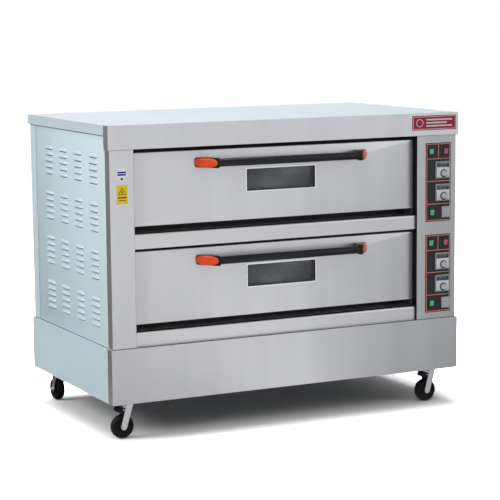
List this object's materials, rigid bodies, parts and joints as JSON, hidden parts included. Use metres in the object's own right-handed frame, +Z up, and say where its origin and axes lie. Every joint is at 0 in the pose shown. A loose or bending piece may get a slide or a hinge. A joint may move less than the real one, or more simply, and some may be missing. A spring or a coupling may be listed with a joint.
{
  "type": "deck oven",
  "caption": "Free-standing electric deck oven with stacked baking chambers, drop-down windowed doors, side control panels and casters.",
  "frame": {"origin": "centre of the overall box at floor level", "axes": "+X to the right as seen from the front, +Y to the back, +Z up"},
  "size_m": [1.6, 0.981, 1.25],
  "materials": {
    "stainless": "brushed stainless",
    "stainless_inner": "plain stainless",
    "painted_sheet": "pale blue coated steel",
    "frame_steel": "grey painted steel",
    "chamber_steel": "heat-tinted steel",
    "hearth_steel": "dark hot-rolled plate",
    "heater": "oxidised sheath",
    "mineral_wool": "pale yellow wool",
    "black_gloss": "gloss black",
    "orange_plastic": "orange",
    "window_glass": "tinted glass",
    "panel_black": "black overlay",
    "white_plastic": "white",
    "knob_plastic": "silver grey",
    "grey_plastic": "light grey",
    "switch_black": "black",
    "lamp_green": "translucent green",
    "lamp_pink": "translucent pink",
    "zinc": "bright zinc",
    "caster_rubber": "black rubber",
    "plate_red": "burgundy enamel"
  },
  "bodies": {
    "cabinet": {"base_frame": "frame_steel", "base_front_panel": "stainless", "base_skirt_panels": "painted_sheet", "cabinet_floor": "frame_steel", "top_cover": "painted_sheet", "top_fascia": "stainless", "front_columns": "stainless", "side_panels": "painted_sheet", "rear_corner_posts": "painted_sheet", "back_panel": "painted_sheet", "cable_gland": "switch_black", "nameplate": "plate_red", "door_sills": "stainless", "chambers": "chamber_steel", "chamber_insulation": "mineral_wool", "hearth_plates": "hearth_steel", "heating_elements": "heater", "control_panels": "panel_black", "thermostats": "white_plastic", "timers": "grey_plastic", "switch_frames": "switch_black", "caster_plates": "zinc"},
    "upper_door": {"upper_door_skin": "stainless", "upper_door_inner_panel": "stainless_inner", "upper_door_insulation": "mineral_wool", "upper_door_glass": "window_glass", "upper_hinge_pins": "zinc", "upper_handle_bar": "black_gloss", "upper_handle_brackets": "black_gloss", "upper_handle_caps": "orange_plastic"},
    "upper_roof_heat_knob": {"upper_roof_heat_knob": "knob_plastic"},
    "upper_floor_heat_knob": {"upper_floor_heat_knob": "knob_plastic"},
    "upper_power_rocker": {"upper_power_rocker": "lamp_green"},
    "upper_heat_rocker": {"upper_heat_rocker": "lamp_pink"},
    "upper_lamp_rocker": {"upper_lamp_rocker": "lamp_green"},
    "upper_timer_key": {"upper_timer_key": "grey_plastic"},
    "lower_door": {"lower_door_skin": "stainless", "lower_door_inner_panel": "stainless_inner", "lower_door_insulation": "mineral_wool", "lower_door_glass": "window_glass", "lower_hinge_pins": "zinc", "lower_handle_bar": "black_gloss", "lower_handle_brackets": "black_gloss", "lower_handle_caps": "orange_plastic"},
    "lower_roof_heat_knob": {"lower_roof_heat_knob": "knob_plastic"},
    "lower_floor_heat_knob": {"lower_floor_heat_knob": "knob_plastic"},
    "lower_power_rocker": {"lower_power_rocker": "lamp_green"},
    "lower_heat_rocker": {"lower_heat_rocker": "lamp_pink"},
    "lower_lamp_rocker": {"lower_lamp_rocker": "lamp_green"},
    "lower_timer_key": {"lower_timer_key": "grey_plastic"},
    "front_left_caster": {"front_left_caster_fork": "zinc"},
    "front_left_wheel": {"front_left_caster_wheel": "caster_rubber"},
    "front_left_brake": {"front_left_brake_pedal": "switch_black"},
    "front_right_caster": {"front_right_caster_fork": "zinc"},
    "front_right_wheel": {"front_right_caster_wheel": "caster_rubber"},
    "front_right_brake": {"front_right_brake_pedal": "switch_black"},
    "rear_left_caster": {"rear_left_caster_fork": "zinc"},
    "rear_left_wheel": {"rear_left_caster_wheel": "caster_rubber"},
    "rear_right_caster": {"rear_right_caster_fork": "zinc"},
    "rear_right_wheel": {"rear_right_caster_wheel": "caster_rubber"}
  },
  "joints": [
    {"name": "upper_door_hinge", "type": "hinge", "parent": "cabinet", "child": "upper_door", "pos_m": [0, -0.3925, 0.861], "axis": [1, 0, 0], "range_deg": [0, 90]},
    {"name": "upper_roof_heat_knob_turn", "type": "hinge", "parent": "cabinet", "child": "upper_roof_heat_knob", "pos_m": [0.73, -0.4455, 0.992], "axis": [0, 1, 0], "range_deg": [0, 300]},
    {"name": "upper_floor_heat_knob_turn", "type": "hinge", "parent": "cabinet", "child": "upper_floor_heat_knob", "pos_m": [0.73, -0.4455, 0.896], "axis": [0, 1, 0], "range_deg": [0, 300]},
    {"name": "upper_power_rocker_tip", "type": "hinge", "parent": "cabinet", "child": "upper_power_rocker", "pos_m": [0.672, -0.4325, 1.0865], "axis": [1, 0, 0], "range_deg": [-18, 0]},
    {"name": "upper_heat_rocker_tip", "type": "hinge", "parent": "cabinet", "child": "upper_heat_rocker", "pos_m": [0.744, -0.4325, 1.0865], "axis": [1, 0, 0], "range_deg": [-18, 0]},
    {"name": "upper_lamp_rocker_tip", "type": "hinge", "parent": "cabinet", "child": "upper_lamp_rocker", "pos_m": [0.676, -0.4325, 0.827], "axis": [1, 0, 0], "range_deg": [-18, 0]},
    {"name": "upper_timer_key_press", "type": "slide", "parent": "cabinet", "child": "upper_timer_key", "axis": [0, 1, 0], "range_m": [0, 0.0015], "stiffness_N_per_m": 400},
    {"name": "lower_door_hinge", "type": "hinge", "parent": "cabinet", "child": "lower_door", "pos_m": [0, -0.3925, 0.471], "axis": [1, 0, 0], "range_deg": [0, 90]},
    {"name": "lower_roof_heat_knob_turn", "type": "hinge", "parent": "cabinet", "child": "lower_roof_heat_knob", "pos_m": [0.73, -0.4455, 0.602], "axis": [0, 1, 0], "range_deg": [0, 300]},
    {"name": "lower_floor_heat_knob_turn", "type": "hinge", "parent": "cabinet", "child": "lower_floor_heat_knob", "pos_m": [0.73, -0.4455, 0.506], "axis": [0, 1, 0], "range_deg": [0, 300]},
    {"name": "lower_power_rocker_tip", "type": "hinge", "parent": "cabinet", "child": "lower_power_rocker", "pos_m": [0.672, -0.4325, 0.6965], "axis": [1, 0, 0], "range_deg": [-18, 0]},
    {"name": "lower_heat_rocker_tip", "type": "hinge", "parent": "cabinet", "child": "lower_heat_rocker", "pos_m": [0.744, -0.4325, 0.6965], "axis": [1, 0, 0], "range_deg": [-18, 0]},
    {"name": "lower_lamp_rocker_tip", "type": "hinge", "parent": "cabinet", "child": "lower_lamp_rocker", "pos_m": [0.676, -0.4325, 0.437], "axis": [1, 0, 0], "range_deg": [-18, 0]},
    {"name": "lower_timer_key_press", "type": "slide", "parent": "cabinet", "child": "lower_timer_key", "axis": [0, 1, 0], "range_m": [0, 0.0015], "stiffness_N_per_m": 400},
    {"name": "front_left_swivel", "type": "hinge", "parent": "cabinet", "child": "front_left_caster", "pos_m": [-0.708, -0.3705, 0.14], "axis": [0, 0, 1], "continuous": true},
    {"name": "front_left_roll", "type": "hinge", "parent": "front_left_caster", "child": "front_left_wheel", "pos_m": [-0.733, -0.3705, 0.048], "axis": [0, -1, 0], "continuous": true},
    {"name": "front_left_brake_lift", "type": "hinge", "parent": "front_left_caster", "child": "front_left_brake", "pos_m": [-0.732, -0.3705, 0.117], "axis": [0, 1, 0], "range_deg": [0, 16]},
    {"name": "front_right_swivel", "type": "hinge", "parent": "cabinet", "child": "front_right_caster", "pos_m": [0.708, -0.3705, 0.14], "axis": [0, 0, 1], "continuous": true},
    {"name": "front_right_roll", "type": "hinge", "parent": "front_right_caster", "child": "front_right_wheel", "pos_m": [0.683, -0.3705, 0.048], "axis": [0, -1, 0], "continuous": true},
    {"name": "front_right_brake_lift", "type": "hinge", "parent": "front_right_caster", "child": "front_right_brake", "pos_m": [0.684, -0.3705, 0.117], "axis": [0, 1, 0], "range_deg": [0, 16]},
    {"name": "rear_left_swivel", "type": "hinge", "parent": "cabinet", "child": "rear_left_caster", "pos_m": [-0.708, 0.4015, 0.14], "axis": [0, 0, 1], "continuous": true},
    {"name": "rear_left_roll", "type": "hinge", "parent": "rear_left_caster", "child": "rear_left_wheel", "pos_m": [-0.71018, 0.4264, 0.048], "axis": [-0.9962, -0.0872, 0], "continuous": true},
    {"name": "rear_right_swivel", "type": "hinge", "parent": "cabinet", "child": "rear_right_caster", "pos_m": [0.708, 0.4015, 0.14], "axis": [0, 0, 1], "continuous": true},
    {"name": "rear_right_roll", "type": "hinge", "parent": "rear_right_caster", "child": "rear_right_wheel", "pos_m": [0.70366, 0.42612, 0.048], "axis": [-0.9848, -0.1736, 0], "continuous": true}
  ]
}
